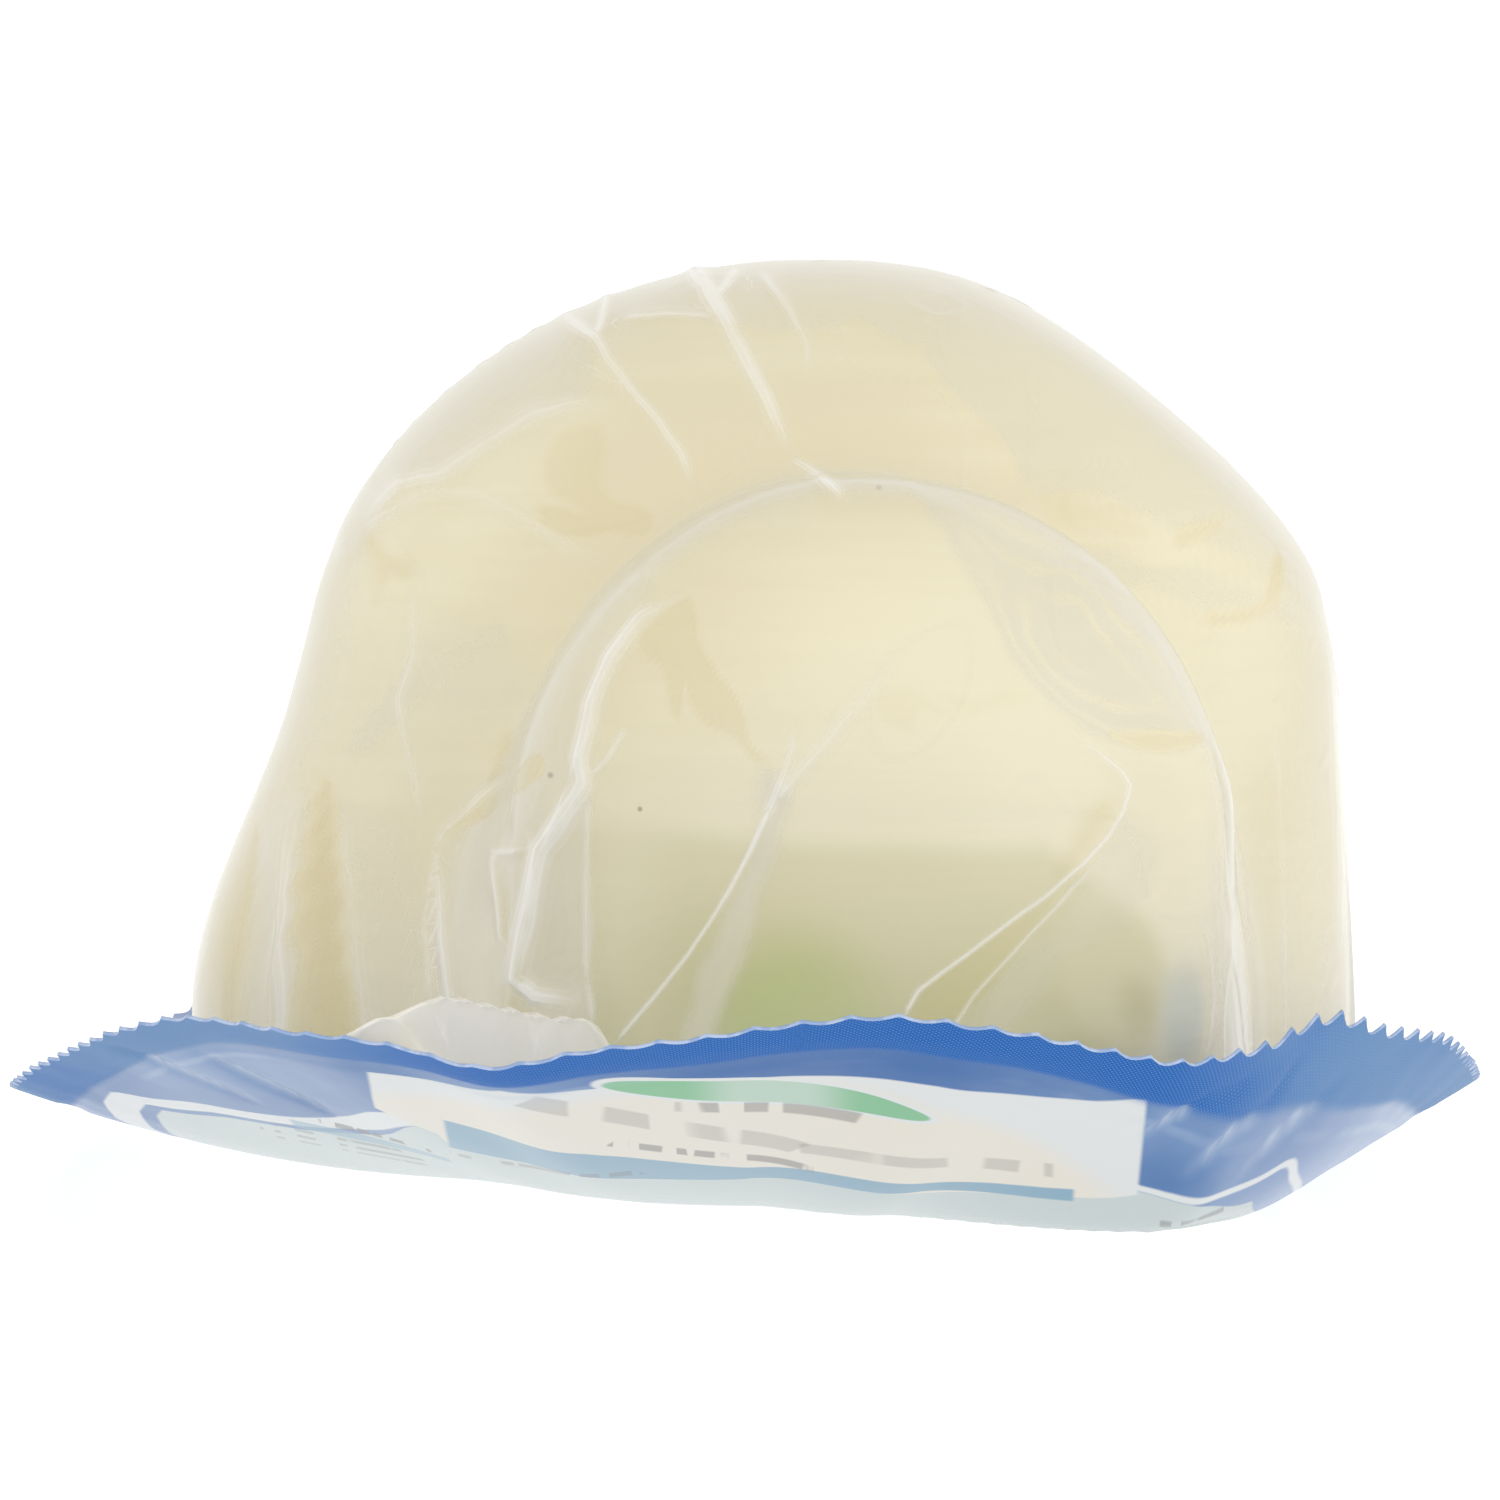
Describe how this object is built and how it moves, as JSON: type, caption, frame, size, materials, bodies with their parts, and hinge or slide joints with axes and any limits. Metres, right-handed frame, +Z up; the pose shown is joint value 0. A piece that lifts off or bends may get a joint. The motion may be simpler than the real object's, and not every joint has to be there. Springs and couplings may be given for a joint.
{
  "type": "vacuum-packed scamorza",
  "caption": "Pear-shaped cheese lying on its side, sealed under clear film on a printed film with a curled, zigzag-cut rim.",
  "frame": {"origin": "on the table, under the middle of the pack's bounding box", "axes": "+Z up, +Y from the cheese's head to its big end, along the pack's longest side, +X to the right seen from the head's end"},
  "size_m": [0.109, 0.1601, 0.067],
  "materials": {
    "cheese_under_film": "pale cream cheese under glossy clear film",
    "printed_film": "glossy blue printed film"
  },
  "bodies": {
    "root": {"bagged_scamorza": "cheese_under_film", "printed_film": "printed_film"}
  },
  "joints": []
}
